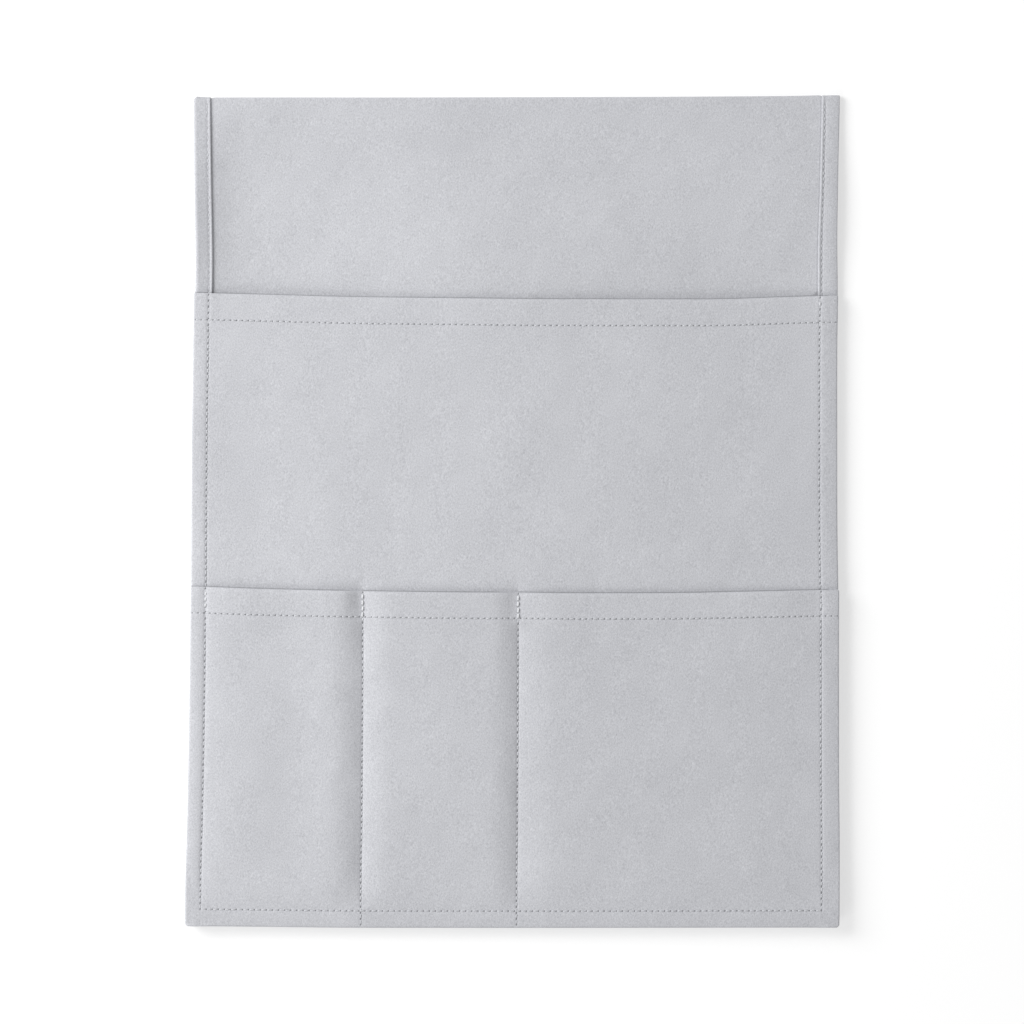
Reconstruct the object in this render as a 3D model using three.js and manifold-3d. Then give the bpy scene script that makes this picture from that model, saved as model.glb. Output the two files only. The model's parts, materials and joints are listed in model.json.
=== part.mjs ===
// A couch organizer: a long strip of soft cloth with two layers of pockets sewn on its front and
// a tuck flap folded behind it at the top edge. It lies on its back with its front up:
// +X is to the right, +Y runs up the front towards the top fold, and +Z comes out of the front.
// The origin is at the middle of the outline, on the surface that the organizer lies on.
import * as THREE from 'three';
import { mergeVertices } from 'three/addons/utils/BufferGeometryUtils.js';
import Module from 'manifold-3d';

const wasm = await Module();
wasm.setup();

// The strip, in millimetres
const foldWidth = 315; // across the strip at its top fold
const baseWidth = 320; // across the strip at its bottom edge
const frontHeight = 407; // from the bottom edge to the top of the fold
const flapLength = 390; // from the fold line to the flap's free end
const clothThickness = 0.8;
const layerGap = 0.3; // air between two layers of cloth
const sideHem = 9; // depth of the hems along the sides
const bottomHem = 11; // depth of the hems along the bottom edge
const flapEndHem = 15; // depth of the hem at the flap's free end

// The pockets
const upperPocketHeight = 309; // from the bottom edge to the upper mouth
const lowerPocketHeight = 165; // from the bottom edge to the lower mouth
const leftPocketWidth = 85.4; // from the left edge to the left divider
const middlePocketWidth = 76.4; // from the left divider to the right one
const mouthHem = 15; // depth of the hem behind each mouth
const pocketSlack = 5.2; // how far a pocket's cloth stands off what is behind it
const shoulderWidth = 20; // how far in from a seam the cloth needs to rise that much
const shoulderSteps = 4;
const dividerFlat = 4; // width of the flat that a divider row presses into the cloth
const hemStep = 3; // length over which the cloth rises onto the hem behind its mouth

// The thread
const threadWidth = 0.9;
const threadHeight = 0.3;
const threadLift = 0.1; // air under a row of thread
const hemSeamInset = 2; // from a hem's inner edge to the row that holds it
const sideSeamInset = 7.5; // from the side edge to the outer seam
const bottomSeamInset = 8.5; // from the bottom edge to the outer seam
const seamEndGap = 0.3; // from the end of a row to the edge that it stops at
const backtackLength = 12.5;

// Heights of the layers: the flap lies under the front panel, and the pockets lie on it
const flapSheetBottom = clothThickness;
const flapSheetTop = flapSheetBottom + clothThickness;
const foldHeight = flapSheetTop + layerGap / 2; // of the fold line that the flap turns about
const panelBottom = flapSheetTop + layerGap;
const panelTop = panelBottom + clothThickness;
const panelHemTop = panelTop + clothThickness;
const upperBandBottom = panelHemTop + layerGap;
const upperBandTop = upperBandBottom + 2 * clothThickness;
const lowerBandBottom = upperBandTop + layerGap;
const lowerBandTop = lowerBandBottom + 2 * clothThickness;
const upperCrown = panelTop + pocketSlack; // underside of the upper pocket's cloth in its middle
const lowerCrown = upperCrown + clothThickness + pocketSlack;

// Places on the front
const edgeX = baseWidth / 2;
const hemX = edgeX - sideHem; // inner edge of the side hems
const seamX = edgeX - sideSeamInset;
const bottomY = -frontHeight / 2;
const foldReach = clothThickness * 2 + layerGap / 2; // outer radius of the fold at the hems
const foldY = frontHeight / 2 - foldReach;
const bottomHemY = bottomY + bottomHem;
const bottomSeamY = bottomY + bottomSeamInset;
const upperMouthY = bottomY + upperPocketHeight;
const lowerMouthY = bottomY + lowerPocketHeight;
const dividers = {
  left: -edgeX + leftPocketWidth,
  right: -edgeX + leftPocketWidth + middlePocketWidth,
};

// Levels of thread above the cloth, in sewing order: a later row crosses over an earlier one
const rowStep = threadHeight + threadLift;
const firstRow = threadLift;
const secondRow = firstRow + rowStep;
const thirdRow = secondRow + rowStep;

const clothMaterial = new THREE.MeshStandardMaterial({
  color: 0xc8c9cd,
  roughness: 0.95,
  metalness: 0,
});
const threadMaterial = new THREE.MeshStandardMaterial({
  color: 0xbdbfc4,
  roughness: 0.8,
  metalness: 0,
});

// The closed solid between two heights over the grid of the lines xs and ys.
function slab(xs, ys, bottomAt, topAt) {
  const across = xs.length;
  const along = ys.length;
  const positions = [];
  for (const heightAt of [bottomAt, topAt]) {
    for (const y of ys) {
      for (const x of xs) positions.push(x, y, heightAt(x, y));
    }
  }
  const bottom = (i, j) => j * across + i;
  const top = (i, j) => (along + j) * across + i;
  const triangles = [];
  const quad = (a, b, c, d) => triangles.push(a, b, c, a, c, d);
  for (let j = 0; j < along - 1; j += 1) {
    for (let i = 0; i < across - 1; i += 1) {
      quad(top(i, j), top(i + 1, j), top(i + 1, j + 1), top(i, j + 1));
      quad(bottom(i, j), bottom(i, j + 1), bottom(i + 1, j + 1), bottom(i + 1, j));
    }
  }
  const lastX = across - 1;
  const lastY = along - 1;
  for (let i = 0; i < lastX; i += 1) {
    quad(bottom(i, 0), bottom(i + 1, 0), top(i + 1, 0), top(i, 0));
    quad(bottom(i + 1, lastY), bottom(i, lastY), top(i, lastY), top(i + 1, lastY));
  }
  for (let j = 0; j < lastY; j += 1) {
    quad(bottom(0, j + 1), bottom(0, j), top(0, j), top(0, j + 1));
    quad(bottom(lastX, j), bottom(lastX, j + 1), top(lastX, j + 1), top(lastX, j));
  }
  const geometry = new THREE.BufferGeometry();
  geometry.setAttribute('position', new THREE.Float32BufferAttribute(positions, 3));
  geometry.setIndex(triangles);
  return geometry;
}

// A box between two values on each axis.
function box(xRange, yRange, [z0, z1]) {
  return slab(xRange, yRange, () => z0, () => z1);
}

function toSolid(geometry) {
  const bare = geometry.clone();
  bare.deleteAttribute('normal');
  bare.deleteAttribute('uv');
  const merged = mergeVertices(bare);
  const mesh = new wasm.Mesh({
    numProp: 3,
    vertProperties: new Float32Array(merged.attributes.position.array),
    triVerts: new Uint32Array(merged.index.array),
  });
  return new wasm.Manifold(mesh);
}

function toGeometry(solid) {
  const mesh = solid.getMesh();
  const geometry = new THREE.BufferGeometry();
  geometry.setAttribute('position', new THREE.BufferAttribute(mesh.vertProperties, 3));
  geometry.setIndex(new THREE.BufferAttribute(mesh.triVerts, 1));
  return geometry;
}

// One solid from overlapping geometries.
function join(geometries) {
  const solids = geometries.map(toSolid);
  return toGeometry(solids.reduce((whole, next) => whole.add(next)));
}

function cut(geometry, tools) {
  return toGeometry(tools.map(toSolid).reduce((whole, tool) => whole.subtract(tool), toSolid(geometry)));
}

// Narrows the front evenly from its bottom edge to the fold, as the strip is cut.
function taper(geometry) {
  const position = geometry.attributes.position;
  for (let i = 0; i < position.count; i += 1) {
    const climbed = (position.getY(i) - bottomY) / (foldY - bottomY);
    const width = THREE.MathUtils.lerp(baseWidth, foldWidth, climbed);
    position.setX(i, (position.getX(i) * width) / baseWidth);
  }
  return geometry;
}

function named(name, geometry, material) {
  geometry.computeVertexNormals();
  const mesh = new THREE.Mesh(geometry, material);
  mesh.name = name;
  return mesh;
}

// The lines of a shoulder that starts at the seam and runs inwards, without the seam itself.
function shoulderLines(seam, direction) {
  const lines = [];
  for (let step = 1; step <= shoulderSteps; step += 1) {
    lines.push(seam + (direction * shoulderWidth * step) / shoulderSteps);
  }
  return lines;
}

// 0 on a seam and 1 where the cloth has risen to its full slack.
function rise(distance) {
  const share = THREE.MathUtils.clamp(distance / shoulderWidth, 0, 1);
  return (1 - Math.cos(Math.PI * share)) / 2;
}

const ascending = (a, b) => a - b;
const borderLines = [-edgeX, -hemX, hemX, edgeX, ...shoulderLines(-hemX, 1), ...shoulderLines(hemX, -1)];
const climbLines = [bottomY, bottomHemY, ...shoulderLines(bottomHemY, 1)];
const mouthLines = (mouthY) => [mouthY - mouthHem - hemStep, mouthY - mouthHem, mouthY];

// Underside of the upper pocket's cloth: flat along its turned edges and crowned in the middle.
function upperUnderside(x, y) {
  const crown = rise(hemX - Math.abs(x)) * rise(y - bottomHemY);
  return THREE.MathUtils.lerp(upperBandBottom + clothThickness, upperCrown, crown);
}

// Underside of the lower pocket's cloth: it comes down to the upper cloth along the dividers.
function lowerUnderside(x, y) {
  const toDividers = Object.values(dividers).map((at) => Math.abs(x - at) - dividerFlat / 2);
  const crown = rise(Math.min(hemX - Math.abs(x), ...toDividers)) * rise(y - bottomHemY);
  const inHem = Math.abs(x) >= hemX || y <= bottomHemY;
  const ontoHem = (y - mouthLines(lowerMouthY)[0]) / hemStep;
  const mouthLayer = clothThickness * THREE.MathUtils.clamp(ontoHem, 0, 1);
  const sewnDown = upperUnderside(x, y) + clothThickness + layerGap + mouthLayer;
  const onUpper = inHem ? lowerBandBottom + clothThickness : sewnDown;
  return THREE.MathUtils.lerp(onUpper, lowerCrown, crown);
}

const upperLinesX = [...borderLines].sort(ascending);
const lowerLinesX = [
  ...borderLines,
  ...Object.values(dividers).flatMap((at) => [
    at - dividerFlat / 2,
    at + dividerFlat / 2,
    ...shoulderLines(at - dividerFlat / 2, -1),
    ...shoulderLines(at + dividerFlat / 2, 1),
  ]),
].sort(ascending);

// A pocket's cloth: its face, its side and bottom edges turned under, and the hem of its mouth.
function pocketCloth(linesX, underside, bandBottom, mouthY) {
  const linesY = [...climbLines, ...mouthLines(mouthY)];
  const topside = (x, y) => underside(x, y) + clothThickness;
  const middle = (x, y) => underside(x, y) + clothThickness / 2;
  const hemBottom = (x, y) => underside(x, y) - clothThickness;
  const band = [bandBottom, bandBottom + 1.5 * clothThickness];
  return taper(
    join([
      slab(linesX, linesY, underside, topside),
      slab(linesX, [mouthY - mouthHem, mouthY], hemBottom, middle),
      box([-edgeX, -hemX], [bottomY, mouthY], band),
      box([hemX, edgeX], [bottomY, mouthY], band),
      box([-edgeX, edgeX], [bottomY, bottomHemY], band),
    ]),
  );
}

function frontPanel() {
  const hem = [panelBottom + clothThickness / 2, panelHemTop];
  return taper(
    join([
      box([-edgeX, edgeX], [bottomY, foldY], [panelBottom, panelTop]),
      box([-edgeX, -hemX], [bottomY, foldY], hem),
      box([hemX, edgeX], [bottomY, foldY], hem),
      box([-edgeX, edgeX], [bottomY, bottomHemY], hem),
    ]),
  );
}

// Half of a ring about the fold line, from the panel's end round to the flap's end.
function halfRing(outerRadius, [x0, x1]) {
  const innerRadius = layerGap / 2;
  const outline = new THREE.Shape();
  outline.absarc(0, 0, outerRadius, -Math.PI / 2, Math.PI / 2, false);
  outline.absarc(0, 0, innerRadius, Math.PI / 2, -Math.PI / 2, true);
  const ring = new THREE.ExtrudeGeometry(outline, {
    depth: x1 - x0,
    bevelEnabled: false,
    curveSegments: 12,
  });
  // The outline's x becomes Y, its y becomes Z and its depth becomes X.
  const turn = new THREE.Matrix4().set(0, 0, 1, x0, 1, 0, 0, foldY, 0, 1, 0, foldHeight, 0, 0, 0, 1);
  return ring.applyMatrix4(turn);
}

function topFold() {
  const halfFold = foldWidth / 2;
  const hemInner = halfFold - (sideHem * foldWidth) / baseWidth;
  return join([
    halfRing(layerGap / 2 + clothThickness, [-halfFold, halfFold]),
    halfRing(foldReach, [-halfFold, -hemInner]),
    halfRing(foldReach, [hemInner, halfFold]),
  ]);
}

const flapEdgeX = foldWidth / 2;
const flapHemX = flapEdgeX - sideHem;
const flapEndY = foldY - flapLength;
const flapEndHemY = flapEndY + flapEndHem;
const flapSeamX = flapHemX + hemSeamInset;
const flapSeamY = flapEndHemY - hemSeamInset;

// The flap's thread row, or with a margin the groove that it lies in: two sides and the end.
function flapRow(margin, heights) {
  const half = threadWidth / 2 + margin;
  const sides = [flapSeamY - half, foldY - seamEndGap + margin];
  return join([
    box([-flapSeamX - half, -flapSeamX + half], sides, heights),
    box([flapSeamX - half, flapSeamX + half], sides, heights),
    box([-flapSeamX - half, flapSeamX + half], [flapSeamY - half, flapSeamY + half], heights),
  ]);
}

function tuckFlap() {
  const hem = [0, flapSheetBottom + clothThickness / 2];
  const cloth = join([
    box([-flapEdgeX, flapEdgeX], [flapEndY, foldY], [flapSheetBottom, flapSheetTop]),
    box([-flapEdgeX, -flapHemX], [flapEndY, foldY], hem),
    box([flapHemX, flapEdgeX], [flapEndY, foldY], hem),
    box([-flapEdgeX, flapEdgeX], [flapEndY, flapEndHemY], hem),
  ]);
  const grooveTop = threadLift + threadHeight + threadLift;
  return cut(cloth, [flapRow(layerGap, [-threadLift, grooveTop])]);
}

function flapHemSeam() {
  return flapRow(0, [threadLift, threadLift + threadHeight]);
}

// The row of a side hem, from the fold down to the upper pocket's mouth.
function hemSeam(side) {
  const at = side * (hemX + hemSeamInset);
  const height = panelHemTop + firstRow;
  return taper(
    box(
      [at - threadWidth / 2, at + threadWidth / 2],
      [upperMouthY + seamEndGap, foldY - seamEndGap],
      [height, height + threadHeight],
    ),
  );
}

// The row that runs across behind a mouth, from one side edge to the other.
function mouthSeam(linesX, underside, mouthY) {
  const at = mouthY - mouthHem + hemSeamInset;
  const bottom = (x) => underside(x, at) + clothThickness + firstRow;
  const top = (x) => bottom(x) + threadHeight;
  return taper(slab(linesX, [at - threadWidth / 2, at + threadWidth / 2], bottom, top));
}

// A divider's row, from the lower mouth down to the outer seam.
function dividerSeam(at) {
  const start = bottomSeamY + threadWidth / 2 + seamEndGap;
  const end = lowerMouthY - seamEndGap;
  const between = [...climbLines, ...mouthLines(lowerMouthY)].filter((y) => y > start && y < end);
  const linesY = [start, ...between, end];
  const bottom = (x, y) => lowerUnderside(at, y) + clothThickness + secondRow;
  const top = (x, y) => bottom(x, y) + threadHeight;
  return taper(slab([at - threadWidth / 2, at + threadWidth / 2], linesY, bottom, top));
}

// The outer seam's stretch on one side, with its step down over the edge of the lower mouth.
function sideStretch(side) {
  const across = [side * seamX - threadWidth / 2, side * seamX + threadWidth / 2];
  const low = upperBandTop + secondRow;
  const high = lowerBandTop + secondRow;
  const stepStart = lowerMouthY + threadLift;
  const stepEnd = stepStart + threadHeight;
  return [
    box(across, [bottomSeamY - threadWidth / 2, stepEnd], [high, high + threadHeight]),
    box(across, [stepStart, stepEnd], [low, high + threadHeight]),
    box(across, [stepStart, upperMouthY - seamEndGap], [low, low + threadHeight]),
  ];
}

function outerSeam() {
  const height = lowerBandTop + secondRow;
  const bottomStretch = box(
    [-seamX - threadWidth / 2, seamX + threadWidth / 2],
    [bottomSeamY - threadWidth / 2, bottomSeamY + threadWidth / 2],
    [height, height + threadHeight],
  );
  return taper(join([bottomStretch, ...sideStretch(-1), ...sideStretch(1)]));
}

// The second pass of stitches at the end of a row that stops at a mouth.
function backtack(at, mouthY, clothTop) {
  const height = clothTop + thirdRow;
  return taper(
    box(
      [at - threadWidth / 2, at + threadWidth / 2],
      [mouthY - seamEndGap - backtackLength, mouthY - seamEndGap],
      [height, height + threadHeight],
    ),
  );
}

const organizer = new THREE.Group();
const addCloth = (name, geometry) => organizer.add(named(name, geometry, clothMaterial));
const addThread = (name, geometry) => organizer.add(named(name, geometry, threadMaterial));

addCloth('front_panel', frontPanel());
addCloth('top_fold', topFold());
addCloth('tuck_flap', tuckFlap());
addCloth('upper_pocket', pocketCloth(upperLinesX, upperUnderside, upperBandBottom, upperMouthY));
addCloth('lower_pocket', pocketCloth(lowerLinesX, lowerUnderside, lowerBandBottom, lowerMouthY));

addThread('flap_hem_seam', flapHemSeam());
addThread('upper_mouth_seam', mouthSeam(upperLinesX, upperUnderside, upperMouthY));
addThread('lower_mouth_seam', mouthSeam(lowerLinesX, lowerUnderside, lowerMouthY));
addThread('outer_seam', outerSeam());
for (const [side, sign] of [['left', -1], ['right', 1]]) {
  const dividerTop = lowerUnderside(dividers[side], lowerMouthY) + clothThickness;
  addThread(`${side}_hem_seam`, hemSeam(sign));
  addThread(`${side}_divider_seam`, dividerSeam(dividers[side]));
  addThread(`${side}_divider_backtack`, backtack(dividers[side], lowerMouthY, dividerTop));
  addThread(`upper_${side}_backtack`, backtack(sign * seamX, upperMouthY, upperBandTop));
  addThread(`lower_${side}_backtack`, backtack(sign * seamX, lowerMouthY, lowerBandTop));
}

export default organizer;
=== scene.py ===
# The looks of a couch organizer: a strip of faux suede folded behind at its top edge, with two
# layers of pockets sewn on its front. Lengths here are in millimetres, and a mesh is in metres.
import json
import math
from collections import namedtuple

import bpy
import numpy as np
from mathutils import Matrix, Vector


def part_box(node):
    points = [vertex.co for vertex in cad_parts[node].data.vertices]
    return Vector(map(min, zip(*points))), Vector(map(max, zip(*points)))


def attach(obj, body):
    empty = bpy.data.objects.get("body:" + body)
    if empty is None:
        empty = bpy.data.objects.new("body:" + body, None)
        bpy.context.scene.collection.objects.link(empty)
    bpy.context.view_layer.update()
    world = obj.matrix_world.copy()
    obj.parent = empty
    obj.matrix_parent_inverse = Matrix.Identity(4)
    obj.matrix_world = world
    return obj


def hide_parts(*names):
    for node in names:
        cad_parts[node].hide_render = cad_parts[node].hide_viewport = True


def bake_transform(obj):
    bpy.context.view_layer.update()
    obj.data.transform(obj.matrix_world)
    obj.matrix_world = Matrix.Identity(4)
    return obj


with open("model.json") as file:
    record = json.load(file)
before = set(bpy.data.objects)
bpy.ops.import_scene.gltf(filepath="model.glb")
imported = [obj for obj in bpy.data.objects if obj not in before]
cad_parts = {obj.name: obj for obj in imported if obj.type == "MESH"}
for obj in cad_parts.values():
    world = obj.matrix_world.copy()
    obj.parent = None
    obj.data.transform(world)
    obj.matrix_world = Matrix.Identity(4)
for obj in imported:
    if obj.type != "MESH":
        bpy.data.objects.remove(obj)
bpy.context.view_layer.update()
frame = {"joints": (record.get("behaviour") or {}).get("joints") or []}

MM = 0.001
FAR = 1e3
random = np.random.default_rng(7)

# The cloth and its turned edges
CLOTH = 0.74  # thickness
HALF = CLOTH / 2
PLY_GAP = 0.08  # air between the two plies of a hem
BEND = (CLOTH + PLY_GAP) / 2  # radius at which the middle of the cloth is turned
REACH = BEND + HALF  # from a turned edge to where its bend starts
PRESSED = 0.53  # share of the thickness that stays where four plies meet
CORNER_STAND = (6 * PRESSED - 2) * BEND - (1 - PRESSED) * HALF  # what they stand above two plies
ZONE_EASE = 3.0  # over which it gets back to its thickness beside those corners
SHIFT_FADE = 20.0  # over which it gives way to a bend that is wider or narrower there
RIM = 0.25  # length over which a cut edge rounds off
RIM_END = 0.985  # share of it at which the rounding stops, so that the edge isn't sharp
CORNER = 1.7  # radius of the outline's corners

# Grid lines across a cut
BEND_STEPS = 6
STRIP_SPACING = 3.2
POCKET_SPACING = 2.7
HEM_SPACING = 1.6
SIDE_HEM_SPACING = 0.8
ROW_LINES = np.array([0, 0.2, 0.4, 0.62, 0.9, 1.25, 1.7, 2.5, 3.6])  # beside a row of stitches
CORNER_LINES = np.array([0.3, 0.7, 1.2, 1.8, 2.6])  # beside an edge, for its corners
END_MARGIN = 0.1  # least distance from such a line to the end of the cut
EVEN_MARGIN = 0.7  # and from an even line to such a line
LINE_GAP = 0.05  # least distance between any two

# Places of the strip, before it is warped to the outline
EDGE_X = 160.0
SIDES_X = (-EDGE_X, EDGE_X)
BOTTOM_Y = -203.5
FOLD_Y, FOLD_Z = (place / MM for place in frame["joints"][0]["pos_m"][1:])
FOLD_GAP = 0.02  # how far short of the fold line the flap's cloth ends, clear of the front
FLAP_END_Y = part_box("tuck_flap")[0].y / MM
PANEL_Z = 2.3  # middle of the panel's cloth
LEFT_HEM = 8.3
RIGHT_HEM = 8.8
BOTTOM_HEM = 11.0
FLAP_END_HEM = 15.0
LEFT_HEM_ROW = 6.7  # from the edge to the row of stitches
RIGHT_HEM_ROW = 7.2
FLAP_END_ROW = 13.0
BEAD = 0.26  # how much thicker a side hem is along its inner edge, where its end is tucked in
LIP_LIFT = 0.04  # how far that inner edge stands off the panel at the upper pocket's mouth
LEFT_ROLL = 0.9  # how much thicker it is along its turned edge, where no stitch presses it
RIGHT_ROLL = 0.6  # the right hem swells between its row and its turned edge, 0.38 of this at most
FOLD_GAIN = 0.55  # share of those gains that is left at the fold, where it is drawn tight
LEFT_TILT = 0.1  # slope of the left hem, up to its edge, between the fold and the mouth
RIGHT_SQUARENESS = 0.4  # power of the sine and cosine of the right edges' bends
FOLD_SQUARENESS = 0.44  # the same for the fold: below 1 it is squarer than round
FOLD_STEPS = 17
FOLD_FOLLOW = -0.2  # least bulge of the fold
FOLD_SWELL = 0.2  # how much thicker its hems are taken to be, to work out that bulge
FOLD_CORNER = (2.4, 1.5, 0.97)  # of its left end: width, depth, and share at which its round stops
LIP_LEAN = 0.95  # how far the right hem's inner edge leans in at the upper pocket's mouth

# Places of the pockets
UPPER_MOUTH_Y = 105.5
LOWER_MOUTH_Y = -38.5
MOUTH_HEM = 15.0
UPPER_MOUTH_ROW = 13.0
LOWER_MOUTH_ROW = 12.65
POCKET_HEM = 9.0
LEFT_SEAM_X = -152.5
RIGHT_SEAM_X = 151.1
BOTTOM_SEAM_Y = -195.05
LEFT_DIVIDER_X = -74.95
RIGHT_DIVIDER_X = 1.75
UPPER_Z = 5.5  # middle of the upper pocket's cloth along its sides
PLY_STEP = CLOTH + 0.2  # from one cloth's middle to that of the next one lying on it

# Heights of the strip
PANEL_RISE = 0.2  # of the panel and its hems, beyond the fold
PANEL_CROWN = 4.2
PANEL_CROWN_X = -22.0
PANEL_CROWN_HALVES = (125.0, 165.0)  # how far it reaches to the left and to the right
PANEL_DIP = 0.6  # of the panel on its right
LEFT_SHOULDER = 1.3  # of the panel's sides, which stand up between the fold and the mouth
RIGHT_SHOULDER = 1.8
PANEL_SAG = 1.75  # beside the left hem
FLAP_SAG = 0.78
SAG_REACH = 11.0

# Heights of the pockets. Each lower pocket has a left seam, a right seam, the distances over
# which its cloth climbs from each, and the height that it climbs to.
BROAD_CROWN = 2.8
LOWER_POCKETS = [(LEFT_SEAM_X, LEFT_DIVIDER_X, 26.0, 15.5, 2.15),
                 (LEFT_DIVIDER_X, RIGHT_DIVIDER_X, 14.0, 14.0, 2.25),
                 (RIGHT_DIVIDER_X, RIGHT_SEAM_X, 19.0, 48.0, 1.85)]
UNEVENNESS = [(0.08, 9.5, 31), (0.05, 4.3, 17)]  # of those distances: share, and waves in y and x
RIDGE = 0.35  # share by which the left pocket stands higher beside its divider
SHOULDER = 0.2  # share of a reach in which the cloth climbs from its seam at an even slope
PUFF = 0.4  # how far the left pocket's cloth springs up right beside its seam
MOUTH_LIFT = 0.35  # share by which they stand higher at their mouths
MOUTH_LIFT_REACH = 35.0
FOLLOW = 0.28  # share of their height that the cloth behind them rises to
FOLLOW_FADE = 16.0
FOLLOW_HEIGHT = 3.0  # of that cloth, where no divider holds it down
TACK_REACH = 26.0  # below the mouths, over which the valleys at the dividers are narrower
TACK_NARROWING = 0.25
TACK_TOE = 1.3  # and start that far from the row
DIP_FADE = 8.0  # above the mouths, over which the dips at the dividers are gone
MOUTH_ROUND = 0.3  # how far a mouth's edge bends down
HEM_AIR = 0.1  # under the lower cloth where it lies on the hems
LEFT_CREST = [(105, 0.36), (60, 0.45), (-36, 0.54), (-90, 0.84), (-160, 0.82), (-200, 0.68)]
CREST_SHARE = 0.68  # where that crest is, as a share of the way from the edge to the seam
CREST_FALL = 0.38  # share of its height that is lost between it and the seam
RIGHT_PILLOW = 0.16
RIGHT_PUFF = 0.27  # how far the strip outside the right seam springs up right beside it
BOTTOM_PILLOW = 0.95

# The stitches
PITCH = 2.95
THREAD = 0.3  # radius
UPRIGHT_VALLEY = 0.17  # how deep a row is drawn into the cloth
ACROSS_VALLEY = 0.045
VALLEY_REACH = 0.65
STATIONS = 7  # rings of points along a stitch
SIDES = 6  # points in each
OVERLAP = 0.16  # how far a stitch reaches into its holes at each end
DIVIDER_TACK = (13.0, 1.3)  # from where to where below the mouth a divider's second pass runs
SPREADS = (0.06, 0.04, 0.03)  # of the stitches along their row, across it and in height
TWIST_LENGTH = 0.9  # of thread, over which its plies wind once round it
BOBBIN = -0.12  # height of the threads on the back, which are drawn into the cloth

# The outline as it lies, as (y, x) along each edge
PANEL_LEFT = [(204, -156.2), (190, -156.1), (180, -155.8), (160, -155.5), (140, -155.0),
              (121, -154.8), (110, -155.1), (90, -155.7), (60, -156.0), (0, -156.6),
              (-60, -157.1), (-120, -158.3), (-165, -159.4), (-200, -159.9)]
PANEL_RIGHT = [(204, 160.4), (195, 160.4), (180, 159.8), (160, 159.35), (140, 159.05),
               (130, 158.85), (116, 159.35), (108, 159.6), (102, 159.3), (80, 158.4),
               (0, 158.2), (-60, 158.8), (-134, 159.1), (-200, 159.3)]
UPPER_LEFT = [(108, -155.95), (82, -156.25), (42, -156.9), (0, -157.2), (-36, -157.3),
              (-75, -157.6), (-114, -158.3), (-153, -159.1), (-173, -159.7), (-200, -160.0)]
UPPER_RIGHT = [(108, 159.5), (90, 159.0), (70, 158.9), (0, 158.95), (-20, 159.1), (-36, 159.5),
               (-60, 159.4), (-200, 159.4)]
LOWER_LEFT = [(-36, -157.35), (-75, -157.7), (-114, -158.3), (-153, -159.1), (-173, -159.8),
              (-200, -160.2)]
LOWER_RIGHT = [(-36, 159.75), (-60, 159.6), (-134, 159.65), (-153, 159.95), (-175, 160.0),
               (-200, 159.75)]
SMOOTH = 12.0  # how far these points and the next ones are averaged to both sides
FLAP_RIGHT = 158.2  # the flap is cut straight there
FLAP_TUCK = 0.6  # how far it keeps inside the front's left edge

# How far the fold reaches out from the fold line, as (x, reach)
FOLD_REACH = [(-160, 1.45), (-120, 1.52), (-60, 1.48), (0, 1.6), (60, 1.76), (100, 1.96),
              (140, 2.25), (157, 2.8)]

# How far each mouth and the bottom lie above their middle height, as (x, rise)
UPPER_SAG = [(-160, 1.8), (-150, 1.6), (-122, 0.9), (-90, -0.1), (-58, -0.6), (-20, -1.0),
             (4, -1.4), (105, -1.4), (113, -1.0), (129, -0.4), (145, 0.1), (155, 0.4)]
LOWER_SAG = [(-160, 2.2), (-149, 1.9), (-133, 1.2), (-114, 0.7), (-90, 0.2), (-60, -0.3),
             (-30, -0.7), (8, -0.75), (20, -1.1), (82, -1.1), (102, -0.6), (129, -0.1), (149, 0.4)]
BOTTOM_SAG = [(-160, 1.05), (-125, 0.75), (-90, 0.2), (0, 0.1), (60, 0.15), (100, 0.25),
              (160, 0.3)]
LEVEL = [(-160, 0), (160, 0)]
BOTTOM_SHARE = 3  # the bottom's own rise is gone at one part in three of the way up

# How far each divider's row has drifted to the right at the bottom, as (its x, drift)
ROW_DRIFTS = [(LEFT_DIVIDER_X, 0.95), (RIGHT_DIVIDER_X, 0.35)]

# One axis of a cut: its lines, its two ends, the depth of the hem at each end or None, and the
# squareness of the bend at its high end
Axis = namedtuple("Axis", "lines ends hems squareness", defaults=(1,))


def ease(value, start=0, width=1):
    """0 up to the start, 1 a width beyond it, and between them 3 s**2 - 2 s**3 of the share s."""
    share = np.clip((value - start) / width, 0, 1)
    return share * share * (3 - 2 * share)


def rise(distance, reach):
    """0 on a seam and 1 beyond the reach, with a slope that falls evenly: 1 - (1 - s)**2."""
    return 1 - (1 - np.clip(distance / reach, 0, 1)) ** 2


def shouldered(distance, reach):
    """0 on a seam and 1 beyond the reach: even slope at first, then one that falls evenly to 0."""
    share = np.clip(distance / reach, 0, 1)
    past = np.maximum(share - SHOULDER, 0)
    return (share - past**2 / (2 * (1 - SHOULDER))) / ((1 + SHOULDER) / 2)


def spring(distance, reach):
    """0 at a line and nearly 1 soon beyond it: 1 less e to the minus distance over reach."""
    return 1 - np.exp(-distance / reach)


def arch(x, middle, half_width):
    """A smooth arch across: the squared cosine, 1 in its middle and 0 at its ends."""
    return np.cos(math.pi / 2 * np.clip((x - middle) / half_width, -1, 1)) ** 2


def signed_power(value, power):
    """The size of a value raised to a power, with the value's own sign."""
    return np.copysign(np.abs(value) ** power, value)


def along_points(points, at, reach):
    """Straight lines between the points, each value averaged over the reach on both sides."""
    places, values = np.array(sorted(points), float).T
    shifts = np.linspace(-reach, reach, 7)
    return np.mean([np.interp(at + shift, places, values) for shift in shifts], axis=0)


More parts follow.
